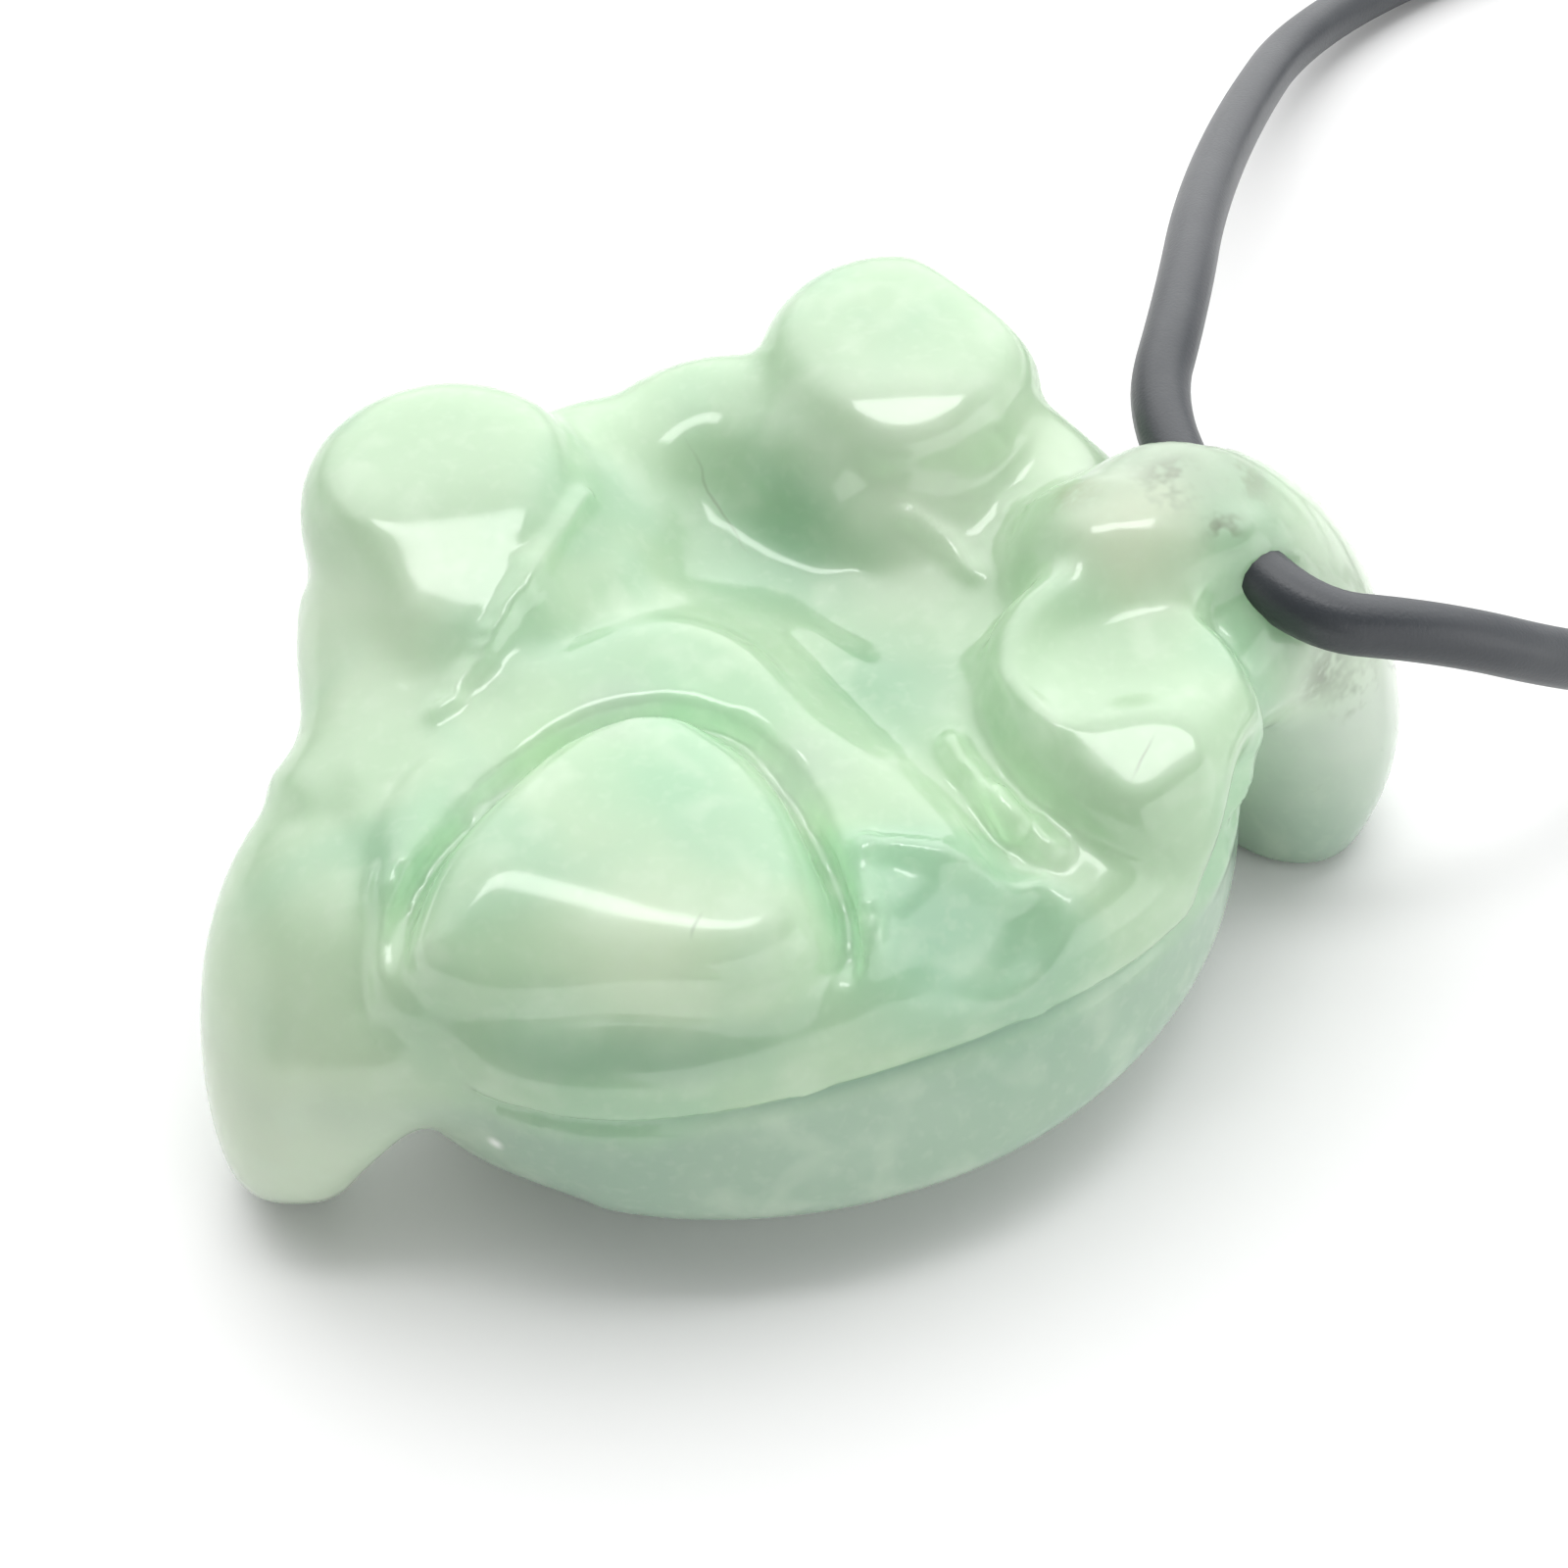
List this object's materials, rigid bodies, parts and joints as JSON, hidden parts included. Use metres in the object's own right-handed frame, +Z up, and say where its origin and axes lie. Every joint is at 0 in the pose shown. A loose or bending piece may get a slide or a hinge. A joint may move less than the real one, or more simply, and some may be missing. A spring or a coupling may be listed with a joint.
{
  "type": "turtle pendant necklace",
  "caption": "Carved turtle pendant lying belly up, cross-drilled through the neck, on a round cord loop that closes in a plain tube clasp.",
  "frame": {"origin": "on the table under the middle of the carving's bounding box", "axes": "+X from the tail to the head, +Y away from the picture's camera across the shell, +Z up from the table, with the belly up"},
  "size_m": [0.1249, 0.0531, 0.0162],
  "materials": {
    "jade": "polished, slightly translucent pale green jade",
    "cord": "smooth satin dark grey round cord",
    "clasp": "plain satin tube"
  },
  "bodies": {
    "root": {"turtle": "jade", "cord": "cord", "clasp": "clasp"}
  },
  "joints": []
}
